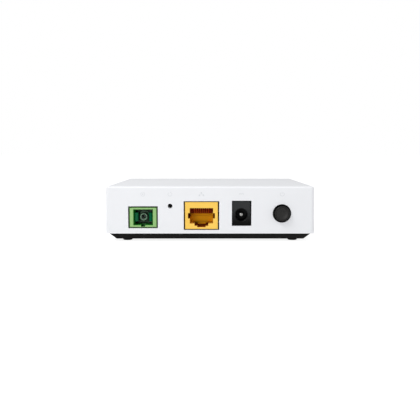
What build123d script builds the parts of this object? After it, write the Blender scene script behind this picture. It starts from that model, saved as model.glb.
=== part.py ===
from build123d import *
import math
import os

# Desktop optical network terminal: one fibre port, one Ethernet port, a power jack and a power button.
# A white cover with drafted walls closes over a black tray. The circuit board hangs upside down from the
# cover, so every jack, switch and chip stands on its underside.
# Frame in millimetres: +Z up, ports on the -Y side, origin on the table under the middle of the object.

# ---- Driving dimensions: case ----
CASE_WIDTH = 105.0
CASE_DEPTH = 90.0
CASE_TOP = 27.8
COVER_BOTTOM = 4.2
WALL = 2.0
DRAFT = 0.9
CORNER = 2.0
TOP_EDGE = 0.8
BUTTON_PROUD = 1.5
FOOT_DROP = 0.95
TRAY_FLOOR = 1.8
TRAY_SHOULDER = 4.15
TRAY_RIM = 5.7
TRAY_EDGE = 1.4
TRAY_SLOPE = 3.25
TRAY_CORNER = 0.8

# ---- Driving dimensions: ports, as seen from behind the object with X to the right ----
FIBRE_X, FIBRE_Z = -33.6, 12.25
RESET_X, RESET_Z = -20.0, 18.0
ETHERNET_X = -4.3
POWER_X, POWER_Z = 15.7, 13.6
BUTTON_X, BUTTON_Z = 36.05, 14.3
BUTTON_TRAVEL = 2.2
RESET_TRAVEL = 0.3

# ---- Driving dimensions: board and screws ----
BOARD_UNDER = 20.0
BOARD_THICK = 1.6
PIN_STICK_OUT = 0.9
CASE_SCREW_X, CASE_SCREW_YS = 43.5, (-24.0, 26.0)
BOARD_SCREWS = [(-26.0, -36.0), (25.8, -36.0), (-30.0, 36.0), (30.0, 36.0)]
FOOT_X, FOOT_INSET, FOOT_RADIUS = 42.4, 8.0, 2.4

# ---- Worked out from the driving dimensions ----
CASE_Y = BUTTON_PROUD / 2
REAR = CASE_Y - CASE_DEPTH / 2
FRONT = CASE_Y + CASE_DEPTH / 2
TRAY_BOTTOM = FOOT_DROP
FLOOR_TOP = TRAY_BOTTOM + TRAY_FLOOR
CEILING = CASE_TOP - WALL
BOARD_TOP = BOARD_UNDER + BOARD_THICK
PIN_END = BOARD_TOP + PIN_STICK_OUT
BOARD_REAR = REAR + 2.85
BOARD_FRONT = FRONT - 4.25
BOARD_HALF_WIDTH = 46.0
PORT_FACE = REAR + 0.45
FOOT_YS = (REAR + FOOT_INSET, FRONT - FOOT_INSET)
CASE_SCREWS = [(sx * CASE_SCREW_X, y) for sx in (-1, 1) for y in CASE_SCREW_YS]


# ---------------------------------------------------------------- shape helpers
def block(x0, x1, y0, y1, z0, z1):
    """Box between two limits on each axis."""
    middle = ((x0 + x1) / 2, (y0 + y1) / 2, (z0 + z1) / 2)
    return Pos(*middle) * Box(x1 - x0, y1 - y0, z1 - z0)


def rod_x(y, z, radius, x0, x1):
    return Pos((x0 + x1) / 2, y, z) * Rot(0, 90, 0) * Cylinder(radius, x1 - x0)


def rod_y(x, z, radius, y0, y1):
    return Pos(x, (y0 + y1) / 2, z) * Rot(90, 0, 0) * Cylinder(radius, y1 - y0)


def rod_z(x, y, radius, z0, z1):
    return Pos(x, y, (z0 + z1) / 2) * Cylinder(radius, z1 - z0)


def slab(width, depth, corner, z0, z1, draft=0.0):
    """Rounded rectangle about the middle of the case, standing from z0 to z1 and narrowing by its draft."""
    return extrude(Pos(0, CASE_Y, z0) * RectangleRounded(width, depth, corner), z1 - z0, taper=draft)


def slot_y(x, y, width, length, z0, z1):
    """Vertical prism with the plan of a slot whose length runs along Y."""
    return extrude(Pos(x, y, z0) * Rot(0, 0, 90) * SlotOverall(length, width), z1 - z0)


def wire(points, radius):
    """Round wire through the points, with ball corners."""
    solid = None
    for start, end in zip(points, points[1:]):
        run = Vector(*end) - Vector(*start)
        leg = Plane(origin=start, z_dir=run) * Cylinder(
            radius, run.length, align=(Align.CENTER, Align.CENTER, Align.MIN)
        )
        solid = leg if solid is None else solid + leg
    for corner in points[1:-1]:
        solid += Pos(*corner) * Sphere(radius)
    return solid


def group(pieces):
    """Several separate solids that share one node."""
    return Compound([solid for piece in pieces for solid in piece.solids()])


def outer_loop_edges(shape, axis):
    """Edges round the outside of the lowest face along an axis."""
    return shape.faces().sort_by(axis)[0].outer_wire().edges()


# ---------------------------------------------------------------- case
FIBRE_CUTOUT = (14.9, 11.1)
ETHERNET_CUTOUT = (17.8, 14.5)
ETHERNET_CUTOUT_Z = 13.2
POWER_CUTOUT = (9.8, 12.7)
POWER_CUTOUT_Z = 14.35
BUTTON_HOLE = 4.65
RESET_HOLE = 1.2
CUTOUT_BREAK = 0.25

BOSS_RADIUS = 3.2
CASE_BOSS_END = COVER_BOTTOM + 0.2
CASE_PILOT = 1.35
BOARD_BOSS_RADIUS = 2.5
BOARD_PILOT = 1.05

SIDE_VENTS = [CASE_Y - 14.0 + 3.5 * i for i in range(9)]
SIDE_VENT_Z = 18.0
HOOK_YS = (-6.0, 12.0)
HOOK_LEDGE = 9.4

LED_XS = [-18.0, -6.0, 6.0, 18.0]
LED_WINDOW = (3.4, 1.6)
LED_WINDOW_Z = 16.5


def rear_cutters():
    """Everything that is cut through the cover's rear wall."""
    y0, y1 = REAR - 2, REAR + WALL + 1
    openings = [
        (FIBRE_X, FIBRE_Z + 0.1, *FIBRE_CUTOUT),
        (ETHERNET_X, ETHERNET_CUTOUT_Z, *ETHERNET_CUTOUT),
        (POWER_X + 0.15, POWER_CUTOUT_Z, *POWER_CUTOUT),
    ]
    cutters = [block(x - w / 2, x + w / 2, y0, y1, z - h / 2, z + h / 2) for x, z, w, h in openings]
    cutters.append(rod_y(BUTTON_X, BUTTON_Z, BUTTON_HOLE, y0, y1))
    return cutters


def hook_pocket(side, y):
    """Recess in the cover's side wall that a tray hook snaps into."""
    inner = CASE_WIDTH / 2 - WALL
    limits = sorted((side * (inner - 1.5), side * (inner + 0.9)))
    return block(*limits, y - 4.5, y + 4.5, HOOK_LEDGE - 0.1, HOOK_LEDGE + 1.9)


def top_cover():
    outer = slab(CASE_WIDTH, CASE_DEPTH, CORNER, COVER_BOTTOM, CASE_TOP, DRAFT)
    outer = fillet(outer.faces().sort_by(Axis.Z)[-1].edges(), TOP_EDGE)
    hollow = slab(CASE_WIDTH - 2 * WALL, CASE_DEPTH - 2 * WALL, CORNER / 2, COVER_BOTTOM, CEILING, DRAFT)
    cover = outer - hollow

    # Bosses: long ones take the case screws, short ones carry the board.
    for x, y in CASE_SCREWS:
        cover += rod_z(x, y, BOSS_RADIUS, CASE_BOSS_END, CEILING + 0.5)
        side = math.copysign(1, x)
        rib = sorted((x + side * (BOSS_RADIUS - 0.4), side * (CASE_WIDTH / 2 - WALL / 2 - 0.4)))
        cover += block(*rib, y - 0.6, y + 0.6, CASE_BOSS_END + 4, CEILING + 0.5)
    for x, y in BOARD_SCREWS:
        cover += rod_z(x, y, BOARD_BOSS_RADIUS, BOARD_TOP + 0.05, CEILING + 0.5)
    for y in (-10.0, 10.0, 30.0):
        cover += block(-40, 40, y - 0.6, y + 0.6, CEILING - 1.6, CEILING + 0.5)

    # Guide that keeps a reset pin straight.
    cover += rod_y(RESET_X, RESET_Z, 2.0, REAR + WALL - 0.5, REAR + WALL + 0.75)

    for cutter in rear_cutters():
        cover -= cutter
    cover -= rod_y(RESET_X, RESET_Z, RESET_HOLE, REAR - 2, REAR + 4)
    for x, y in CASE_SCREWS:
        cover -= rod_z(x, y, CASE_PILOT, CASE_BOSS_END - 1, CASE_BOSS_END + 9)
    for x, y in BOARD_SCREWS:
        cover -= rod_z(x, y, BOARD_PILOT, BOARD_TOP - 1, CEILING - 0.4)
    for side in (-1, 1):
        for y in HOOK_YS:
            cover -= hook_pocket(side, y)
        for y in SIDE_VENTS:
            vent = Plane.YZ * Pos(y, SIDE_VENT_Z) * Rot(0, 0, 90) * SlotOverall(8.0, 1.5)
            cover -= Pos(side * (CASE_WIDTH / 2 - 4), 0, 0) * extrude(vent, 8, dir=(side, 0, 0))
    width, height = LED_WINDOW
    for x in LED_XS:
        window = Plane.XZ * Pos(x, LED_WINDOW_Z) * RectangleRounded(width, height, 0.4)
        cover -= Pos(0, FRONT - 4, 0) * extrude(window, 8, dir=(0, 1, 0))
    return cover


KEYHOLE_X, KEYHOLE_Y = 32.0, 2.0
KEYHOLE_ENTRY, KEYHOLE_NECK = 3.4, 1.9
KEYHOLE_RUN = 6.0
LABEL_SIZE = (46.0, 22.0)
LABEL_Y = -14.0
TRAY_VENT_XS = [-22.5 + 4.5 * i for i in range(11)]
TRAY_VENT_Y = 22.0


def tray_hook(side, y):
    """Springy upright with a barb that snaps under the cover's ledge."""
    outer = CASE_WIDTH / 2 - WALL - 0.3
    limits = sorted((side * (outer - 1.4), side * outer))
    stem = block(*limits, y - 3.5, y + 3.5, TRAY_SHOULDER, HOOK_LEDGE + 1.5)
    barb = Plane.XZ * Polygon(
        (side * (outer - 0.5), HOOK_LEDGE),
        (side * (outer + 0.75), HOOK_LEDGE + 0.1),
        (side * (outer - 0.5), HOOK_LEDGE + 1.5),
        align=None,
    )
    return stem + Pos(0, y + 3, 0) * extrude(barb, 6, dir=(0, -1, 0))


def base_tray():
    rim_w = CASE_WIDTH - 2 * WALL - 0.4
    rim_d = CASE_DEPTH - 2 * WALL - 0.4
    shoulder_w, shoulder_d = CASE_WIDTH - 2 * TRAY_EDGE, CASE_DEPTH - 2 * TRAY_EDGE
    foot_w, foot_d = shoulder_w - 2 * TRAY_SLOPE, shoulder_d - 2 * TRAY_SLOPE
    rise = TRAY_SHOULDER - TRAY_BOTTOM
    sloped = loft(
        [
            Pos(0, CASE_Y, TRAY_BOTTOM) * RectangleRounded(foot_w, foot_d, TRAY_CORNER),
            Pos(0, CASE_Y, TRAY_SHOULDER) * RectangleRounded(shoulder_w, shoulder_d, TRAY_CORNER),
        ]
    )
    tray = sloped + slab(rim_w, rim_d, TRAY_CORNER, TRAY_SHOULDER, TRAY_RIM)
    floor_w = foot_w + 2 * TRAY_SLOPE * TRAY_FLOOR / rise
    floor_d = foot_d + 2 * TRAY_SLOPE * TRAY_FLOOR / rise
    lip = 1.6
    tray -= loft(
        [
            Pos(0, CASE_Y, FLOOR_TOP) * RectangleRounded(floor_w - 2.8 * lip, floor_d - 2.8 * lip, 0.6),
            Pos(0, CASE_Y, TRAY_SHOULDER) * RectangleRounded(rim_w - 2 * lip, rim_d - 2 * lip, 0.6),
        ]
    )
    tray -= slab(rim_w - 2 * lip, rim_d - 2 * lip, 0.6, TRAY_SHOULDER, TRAY_RIM)

    for x, y in CASE_SCREWS:
        tray += rod_z(x, y, 3.5, TRAY_BOTTOM + 0.5, CASE_BOSS_END - 0.05)
    for side in (-1, 1):
        for y in HOOK_YS:
            tray += tray_hook(side, y)

    # Ribs under the three jacks take the push of a plug.
    for x, top in ((FIBRE_X, FIBRE_BOTTOM), (ETHERNET_X, ETHERNET_BOTTOM), (POWER_X, POWER_BOTTOM)):
        for offset in (-2.5, 2.5):
            tray += block(x + offset - 0.7, x + offset + 0.7, -38.5, -31.0, FLOOR_TOP - 0.3, top - 0.1)

    for x, y in CASE_SCREWS:
        tray -= rod_z(x, y, 2.6, TRAY_BOTTOM - 1, FLOOR_TOP)
        tray -= rod_z(x, y, 1.5, TRAY_BOTTOM, TRAY_RIM)
    for side in (-1, 1):
        for y in FOOT_YS:
            tray -= rod_z(side * FOOT_X, y, FOOT_RADIUS + 0.1, TRAY_BOTTOM - 1, TRAY_BOTTOM + 0.6)
        x = side * KEYHOLE_X
        z0, z1, run_end = TRAY_BOTTOM - 1, FLOOR_TOP + 1, KEYHOLE_Y + KEYHOLE_RUN
        tray -= rod_z(x, KEYHOLE_Y, KEYHOLE_ENTRY, z0, z1)
        tray -= block(x - KEYHOLE_NECK, x + KEYHOLE_NECK, KEYHOLE_Y, run_end, z0, z1)
        tray -= rod_z(x, run_end, KEYHOLE_NECK, z0, z1)
    for x in TRAY_VENT_XS:
        tray -= slot_y(x, TRAY_VENT_Y, 2.0, 16.0, TRAY_BOTTOM - 1, FLOOR_TOP + 1)
    label_w, label_d = LABEL_SIZE
    tray -= extrude(Pos(0, LABEL_Y, TRAY_BOTTOM) * RectangleRounded(label_w + 1, label_d + 1, 1.0), 0.3)
    return tray


def rating_label():
    label = Pos(0, LABEL_Y, TRAY_BOTTOM + 0.18) * RectangleRounded(*LABEL_SIZE, 0.8)
    return extrude(label, 0.12)


def rubber_feet():
    feet = []
    for side in (-1, 1):
        for y in FOOT_YS:
            foot = rod_z(side * FOOT_X, y, FOOT_RADIUS, 0, TRAY_BOTTOM + 0.6)
            feet.append(fillet(foot.faces().sort_by(Axis.Z)[0].edges(), 0.35))
    return group(feet)


def screw(head_radius, head_height, shank_radius, shank_length, ridge):
    """Cross-head self-tapping screw, its head's underside at z = 0 and its shank upward."""
    head = Pos(0, 0, -head_height / 2) * Cylinder(head_radius, head_height)
    head = fillet(head.faces().sort_by(Axis.Z)[0].edges(), head_height * 0.35)
    slot = head_radius * 1.1
    for angle in (0, 90):
        head -= Pos(0, 0, -head_height) * Rot(0, 0, angle) * Box(slot, slot / 5, head_height * 1.1)
    core = shank_radius - ridge
    tip = 1.0
    profile = [(0, 0), (core, 0)]
    pitch = 0.9
    turns = int((shank_length - tip) / pitch)
    for turn in range(turns):
        base = pitch * turn
        profile += [(core, base + 0.25), (shank_radius, base + 0.45), (core, base + 0.65)]
    profile += [(core, shank_length - tip), (0.3, shank_length), (0, shank_length)]
    face = Plane.XZ * Polygon(*profile, align=None)
    return head + revolve(face, Axis.Z)


def case_screws():
    one = screw(2.4, 1.5, CASE_PILOT - 0.05, 8.5, 0.3)
    return group([Pos(x, y, FLOOR_TOP) * one for x, y in CASE_SCREWS])


def board_screws():
    one = screw(2.1, 1.3, BOARD_PILOT - 0.05, 5.0, 0.25)
    return group([Pos(x, y, BOARD_UNDER) * one for x, y in BOARD_SCREWS])


# ---------------------------------------------------------------- fibre port and optical transceiver
FIBRE_WIDTH, FIBRE_HEIGHT = 13.6, 9.9
FIBRE_OPENING = (9.1, 7.45)
FIBRE_LEAD_IN = (0.5, 0.4, 1.3)
FIBRE_BACK = PORT_FACE + 15.0
FIBRE_CAVITY_END = FIBRE_BACK - 3.0
FIBRE_BOTTOM = FIBRE_Z - FIBRE_HEIGHT / 2
FIBRE_PEG_Y = FIBRE_BACK - 2.4
FIBRE_PEGS = [(FIBRE_X + dx, FIBRE_PEG_Y) for dx in (-5.0, 5.0)]
TUBE_RADIUS, TUBE_BORE, TUBE_FRONT = 2.05, 1.65, PORT_FACE + 3.2
SLEEVE_BORE, SLEEVE_LENGTH = 1.25, 6.5
STUB_RADIUS = 1.0
SLEEVE_FRONT = TUBE_FRONT + 0.4
SLEEVE_BACK = SLEEVE_FRONT + SLEEVE_LENGTH
STUB_FRONT = SLEEVE_BACK + 0.2
BODY_FRONT = FIBRE_BACK + 0.8
BODY_BACK = BODY_FRONT + 8.5
CAN_RADIUS = 2.8
CAN_THICK = 1.2
RECEIVER_Y = BODY_FRONT + 4.4
RECEIVER_X = FIBRE_X + 3.3
LEAD_RADIUS = 0.22
LEAD_OFFSET = 0.9


def fibre_port_housing():
    half_w, half_h = FIBRE_WIDTH / 2, FIBRE_HEIGHT / 2
    open_w, open_h = FIBRE_OPENING[0] / 2, FIBRE_OPENING[1] / 2
    x, z = FIBRE_X, FIBRE_Z
    housing = block(x - half_w, x + half_w, PORT_FACE, FIBRE_BACK, z - half_h, z + half_h)
    housing = chamfer(outer_loop_edges(housing, Axis.Y), 0.35)
    housing -= block(x - open_w, x + open_w, PORT_FACE - 1, FIBRE_CAVITY_END, z - open_h, z + open_h)
    flare_w, flare_h, flare_depth = FIBRE_LEAD_IN
    mouth, throat = Plane.XZ.offset(-PORT_FACE), Plane.XZ.offset(-PORT_FACE - flare_depth)
    housing -= loft(
        [
            mouth * Pos(x, z) * Rectangle(2 * (open_w + flare_w), 2 * (open_h + flare_h)),
            throat * Pos(x, z) * Rectangle(2 * open_w, 2 * open_h),
        ]
    )
    housing -= block(x - 1.05, x + 1.05, PORT_FACE - 1, PORT_FACE + 6, z - half_h + 0.25, z)
    for peg_x, peg_y in FIBRE_PEGS:
        housing += block(peg_x - 1.0, peg_x + 1.0, peg_y - 1.8, peg_y + 1.8, z + half_h - 0.5, BOARD_UNDER)
        housing += rod_z(peg_x, peg_y, 0.8, BOARD_UNDER - 0.5, BOARD_TOP + 0.4)
    return housing - rod_y(x, z, TUBE_RADIUS + 0.05, FIBRE_CAVITY_END - 1, FIBRE_BACK + 1)


def fibre_latch_insert():
    """Moulding at the bottom of the port with two springy arms whose hooks hold the plug."""
    x, z = FIBRE_X, FIBRE_Z
    half_w, half_h = FIBRE_OPENING[0] / 2 - 0.1, FIBRE_OPENING[1] / 2 - 0.1
    back = FIBRE_CAVITY_END - 0.05
    insert = block(x - half_w, x + half_w, back - 1.4, back, z - half_h, z + half_h)
    insert += rod_y(x, z, TUBE_RADIUS + 0.75, back - 4.5, back - 1.0)
    arm_tip = PORT_FACE + 1.7
    for side in (-1, 1):
        plan = Plane.XY * Polygon(
            (x + side * half_w, back - 0.5),
            (x + side * half_w, arm_tip + 0.6),
            (x + side * (half_w - 0.5), arm_tip),
            (x + side * (half_w - 1.75), arm_tip + 1.2),
            (x + side * (half_w - 1.75), arm_tip + 1.6),
            (x + side * (half_w - 1.1), arm_tip + 2.0),
            (x + side * (half_w - 1.1), back - 0.5),
            align=None,
        )
        insert += Pos(0, 0, z - 2.2) * extrude(plan, 4.4, dir=(0, 0, 1))
    return insert - rod_y(x, z, TUBE_RADIUS + 0.05, back - 6, back + 1)


def receptacle_tube():
    tube = rod_y(FIBRE_X, FIBRE_Z, TUBE_RADIUS, TUBE_FRONT, BODY_FRONT)
    tube = chamfer(outer_loop_edges(tube, Axis.Y), 0.2)
    tube -= rod_y(FIBRE_X, FIBRE_Z, SLEEVE_BORE + 0.05, TUBE_FRONT - 1, SLEEVE_FRONT)
    tube -= rod_y(FIBRE_X, FIBRE_Z, TUBE_BORE, SLEEVE_FRONT, STUB_FRONT)
    return tube - rod_y(FIBRE_X, FIBRE_Z, STUB_RADIUS + 0.03, STUB_FRONT, BODY_FRONT - 0.6)


def ferrule_sleeve():
    """Split ceramic tube that lines the plug's ferrule up with the stub."""
    y0, y1 = SLEEVE_FRONT - 1, SLEEVE_BACK + 1
    sleeve = rod_y(FIBRE_X, FIBRE_Z, TUBE_BORE - 0.05, SLEEVE_FRONT, SLEEVE_BACK)
    sleeve -= rod_y(FIBRE_X, FIBRE_Z, SLEEVE_BORE, y0, y1)
    return sleeve - block(FIBRE_X - 0.12, FIBRE_X + 0.12, y0, y1, FIBRE_Z, FIBRE_Z + 3)


def fibre_stub():
    stub = rod_y(FIBRE_X, FIBRE_Z, STUB_RADIUS, STUB_FRONT, BODY_FRONT - 0.8)
    return chamfer(outer_loop_edges(stub, Axis.Y), 0.15)


def transceiver_body():
    half = 3.3
    body = block(FIBRE_X - half, FIBRE_X + half, BODY_FRONT, BODY_BACK, FIBRE_Z - half, FIBRE_Z + half)
    body = fillet(body.edges().filter_by(Axis.Y), 0.8)
    collar = rod_y(FIBRE_X, FIBRE_Z, 3.1, FIBRE_BACK + 0.05, BODY_FRONT)
    return body + (collar - rod_y(FIBRE_X, FIBRE_Z, TUBE_RADIUS + 0.02, FIBRE_BACK, BODY_FRONT))


def laser_can():
    can = rod_y(FIBRE_X, FIBRE_Z, CAN_RADIUS, BODY_BACK, BODY_BACK + CAN_THICK)
    return fillet(can.faces().sort_by(Axis.Y)[-1].edges(), 0.2)


def receiver_can():
    can = rod_x(RECEIVER_Y, FIBRE_Z, CAN_RADIUS, RECEIVER_X, RECEIVER_X + CAN_THICK)
    return fillet(can.faces().sort_by(Axis.X)[-1].edges(), 0.2)


def lead_routes():
    """Points of the eight leads, out of each can, round a bend and up through the board."""
    routes = []
    for across in (-LEAD_OFFSET, LEAD_OFFSET):
        for up in (-LEAD_OFFSET, LEAD_OFFSET):
            reach = 1.6 - up / 2
            y0 = BODY_BACK + CAN_THICK
            x, z = FIBRE_X + across, FIBRE_Z + up
            routes.append([(x, y0, z), (x, y0 + reach, z), (x, y0 + reach, PIN_END)])
            x0, y = RECEIVER_X + CAN_THICK, RECEIVER_Y + across
            routes.append([(x0, y, z), (x0 + reach, y, z), (x0 + reach, y, PIN_END)])
    return routes


def transceiver_leads():
    return group([wire(route, LEAD_RADIUS) for route in lead_routes()])


# ---------------------------------------------------------------- Ethernet jack
ETHERNET_WIDTH, ETHERNET_HEIGHT, ETHERNET_DEPTH = 16.5, 13.6, 15.8
ETHERNET_BOTTOM = BOARD_UNDER - ETHERNET_HEIGHT
ETHERNET_CEILING = 16.9
PLUG_WIDTH, PLUG_FLOOR = 11.7, 9.1
PLUG_DEPTH = 12.4
LATCH_DEPTH = 14.8
LATCH_STEPS = [(3.45, 1.1), (2.1, 1.8)]
SIDE_NOTCH_DEPTH = 13.5
SIDE_NOTCH_Z = (11.7, 14.4)
CONTACT_PITCH, CONTACT_WIDTH, CONTACT_THICK = 1.02, 0.46, 0.35
CONTACT_XS = [ETHERNET_X + CONTACT_PITCH * (i - 3.5) for i in range(8)]
COMB_XS = [ETHERNET_X + CONTACT_PITCH * (i - 4.5) for i in range(10)]
CONTACT_RUN_Z = 18.1
CONTACT_HINGE_Y, CONTACT_HINGE_Z = PORT_FACE + 2.5, 17.25
CONTACT_SLOPE, CONTACT_LENGTH = 27.0, 7.6
CONTACT_ROWS = (PORT_FACE + 10.3, PORT_FACE + 12.84)
CARRIER_BOTTOM = 18.8
ETHERNET_PEGS = [(ETHERNET_X + dx, PORT_FACE + 4.9) for dx in (-5.7, 5.7)]
ETHERNET_PEG_RADIUS = 1.6


def contact_row(index):
    """Y of a contact's pin: odd and even contacts leave in two rows."""
    return CONTACT_ROWS[index % 2]


def ethernet_housing():
    x, face = ETHERNET_X, PORT_FACE
    half = ETHERNET_WIDTH / 2
    plug_end = face + PLUG_DEPTH
    housing = block(x - half, x + half, face, face + ETHERNET_DEPTH, ETHERNET_BOTTOM, BOARD_UNDER)
    housing = chamfer(outer_loop_edges(housing, Axis.Y), 0.2)
    plug = block(x - PLUG_WIDTH / 2, x + PLUG_WIDTH / 2, face - 1, plug_end, PLUG_FLOOR, ETHERNET_CEILING)
    for reach, drop in LATCH_STEPS:
        plug += block(x - reach, x + reach, face - 1, face + LATCH_DEPTH, PLUG_FLOOR - drop, PLUG_FLOOR)
    plug += block(x - 6.75, x + 6.75, face - 1, face + SIDE_NOTCH_DEPTH, *SIDE_NOTCH_Z)
    housing -= plug
    housing = chamfer(housing.faces().sort_by(Axis.Y)[0].inner_wires()[0].edges(), 0.12)
    slot_z = (ETHERNET_CEILING - 0.5, CARRIER_BOTTOM + 0.1)
    for slot_x in COMB_XS:
        housing -= block(slot_x - 0.35, slot_x + 0.35, face + 1.9, face + 13.9, *slot_z)
    housing -= block(x - 5.3, x + 5.3, face + 7.0, face + ETHERNET_DEPTH + 1, CARRIER_BOTTOM, BOARD_UNDER + 1)
    for peg_x, peg_y in ETHERNET_PEGS:
        peg = rod_z(peg_x, peg_y, ETHERNET_PEG_RADIUS, BOARD_UNDER - 1, BOARD_TOP + 0.8)
        peg = chamfer(peg.faces().sort_by(Axis.Z)[-1].edges(), 0.5)
        split = block(peg_x - 0.4, peg_x + 0.4, peg_y - 2, peg_y + 2, BOARD_UNDER + 0.6, BOARD_TOP + 1)
        housing += peg - split
    return housing


def ethernet_contact_carrier():
    y0, y1 = PORT_FACE + 7.1, PORT_FACE + ETHERNET_DEPTH - 0.1
    carrier = block(ETHERNET_X - 5.2, ETHERNET_X + 5.2, y0, y1, CARRIER_BOTTOM + 0.05, BOARD_UNDER)
    for index, x in enumerate(CONTACT_XS):
        y = contact_row(index)
        carrier -= block(x - 0.25, x + 0.25, y - 0.25, y + 0.25, CARRIER_BOTTOM - 1, BOARD_UNDER + 1)
    return carrier


def ethernet_pins():
    """Fixed half of each contact: a run along the roof of the jack, and a pin through the board."""
    half = CONTACT_WIDTH / 2
    pins = []
    for index, x in enumerate(CONTACT_XS):
        y = contact_row(index)
        front = CONTACT_HINGE_Y - 0.2
        run = block(x - half, x + half, front, y + half, CONTACT_RUN_Z, CONTACT_RUN_Z + CONTACT_THICK)
        elbow = front + CONTACT_THICK
        drop = block(x - half, x + half, front, elbow, CONTACT_HINGE_Z + 0.3, CONTACT_RUN_Z + 0.1)
        pin = block(x - half, x + half, y - half, y + half, CONTACT_RUN_Z, PIN_END)
        pins.append(run + drop + pin)
    return group(pins)


def ethernet_contact_springs():
    """Sloping half of each contact, which a plug lifts."""
    half = CONTACT_WIDTH / 2
    springs = []
    for x in CONTACT_XS:
        arm = block(x - half, x + half, -0.15, CONTACT_LENGTH, -CONTACT_THICK, 0)
        arm = fillet(arm.faces().sort_by(Axis.Y)[-1].edges().filter_by(Axis.X), 0.12)
        springs.append(Pos(0, CONTACT_HINGE_Y, CONTACT_HINGE_Z) * Rot(-CONTACT_SLOPE, 0, 0) * arm)
    return group(springs)


# ---------------------------------------------------------------- power jack
POWER_WIDTH = 9.0
POWER_BOTTOM = 8.4
POWER_LIP_BACK = BOARD_REAR - 0.2
POWER_BACK = PORT_FACE + 14.0
BARREL_RADIUS, BARREL_DEPTH = 3.15, 9.6
POWER_PIN_RADIUS = 1.0
LEAF_HINGE_Y = PORT_FACE + 9.9
LEAF_HINGE_X = POWER_X - 3.3
LEAF_HALF_HEIGHT = 1.1
PIN_TAB_Y = POWER_BACK + 0.15
LEAF_TAB_Y = PORT_FACE + 8.6
TAB_THICK = 0.4


def power_jack_housing():
    half = POWER_WIDTH / 2
    x, z = POWER_X, POWER_Z
    lip = block(x - half, x + half, PORT_FACE, POWER_LIP_BACK, POWER_BOTTOM, BOARD_UNDER + 0.45)
    lip = chamfer(outer_loop_edges(lip, Axis.Y), 0.3)
    body = block(x - half, x + half, POWER_LIP_BACK, POWER_BACK, z, BOARD_UNDER)
    body += rod_y(x, z, half, POWER_LIP_BACK, POWER_BACK)
    housing = lip + body
    housing -= rod_y(x, z, BARREL_RADIUS, PORT_FACE - 1, PORT_FACE + BARREL_DEPTH)
    housing = chamfer(housing.faces().sort_by(Axis.Y)[0].inner_wires()[0].edges(), 0.35)
    housing -= block(x - 4.0, x - 2.4, PORT_FACE + 1.3, LEAF_HINGE_Y + 0.5, z - 1.4, z + 1.4)
    return housing - rod_y(x, z, 0.85, PORT_FACE + BARREL_DEPTH - 1, POWER_BACK + 1)


def power_jack_pin():
    back = PORT_FACE + BARREL_DEPTH
    pin = rod_y(POWER_X, POWER_Z, POWER_PIN_RADIUS, PORT_FACE + 1.0, back)
    pin = fillet(outer_loop_edges(pin, Axis.Y), 0.6)
    return pin + rod_y(POWER_X, POWER_Z, 0.8, back, PIN_TAB_Y)


def power_jack_leaf():
    """Bowed contact strip that presses on the barrel of the plug."""
    bow = [(-3.35, 9.85), (-2.65, 4.6), (-3.2, 1.6)]
    half = 0.12
    outline = [(POWER_X + x + half, PORT_FACE + y) for x, y in bow]
    outline += [(POWER_X + x - half, PORT_FACE + y) for x, y in reversed(bow)]
    strip = Plane.XY * Polygon(*outline, align=None)
    return Pos(0, 0, POWER_Z - LEAF_HALF_HEIGHT) * extrude(strip, 2 * LEAF_HALF_HEIGHT, dir=(0, 0, 1))


def power_jack_terminals():
    """Solder tabs: one on the back of the centre pin, one beside the leaf."""
    x, z = POWER_X, POWER_Z
    outside = x - POWER_WIDTH / 2 - 0.05
    pin_tab = block(x - 1.2, x + 1.2, PIN_TAB_Y, PIN_TAB_Y + TAB_THICK, z - 1.4, PIN_END)
    leaf_tab = block(outside - TAB_THICK, outside, LEAF_TAB_Y - 1.2, LEAF_TAB_Y + 1.2, z - 1.4, PIN_END)
    return group([pin_tab, leaf_tab])


# ---------------------------------------------------------------- power button and its switch
CAP_RADIUS = BUTTON_HOLE - 0.8
CAP_INSIDE = CAP_RADIUS - 0.65
CAP_EDGE = 0.45
GROOVE_RADIUS = 3.1
DISH_RADIUS, DISH_DEPTH = 2.85, 0.3
CAP_TIP = REAR - BUTTON_PROUD
CAP_FLANGE_FRONT = REAR + WALL + 0.35
CAP_FLANGE_BACK = CAP_FLANGE_FRONT + 1.1
CAP_FLANGE_RADIUS = 5.3
STEM_BACK = CAP_FLANGE_BACK + 3.2
PLUNGER_FRONT = CAP_FLANGE_FRONT + 0.4
PLUNGER_BACK = REAR + 16.25
PLUNGER_HALF = (1.5, 1.0)
SWITCH_NOSE, SWITCH_FRONT, SWITCH_BACK = REAR + 10.25, REAR + 11.25, REAR + 23.25
SWITCH_HALF_WIDTH = 4.25
SWITCH_BOTTOM = BUTTON_Z - 4.2
CHANNEL_BACK = SWITCH_BACK - 1.3
SWITCH_PINS = [(BUTTON_X + dx, SWITCH_FRONT + dy) for dx in (-2.5, 2.5) for dy in (2.0, 6.0, 10.0)]
SYMBOL_RADIUS, SYMBOL_WIDTH = 1.55, 0.34


def power_symbol():
    """Standby mark, a ring open at the top with a bar in the opening, drawn on the cap's face."""
    ring = Circle(SYMBOL_RADIUS) - Circle(SYMBOL_RADIUS - SYMBOL_WIDTH)
    ring -= Pos(0, SYMBOL_RADIUS) * Rectangle(1.2, 1.4)
    mark = ring + Pos(0, SYMBOL_RADIUS - 0.35) * Rectangle(SYMBOL_WIDTH, 1.3)
    return extrude(Pos(BUTTON_X, CAP_TIP + 0.12, BUTTON_Z) * Rot(90, 0, 0) * mark, -0.6)


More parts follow.
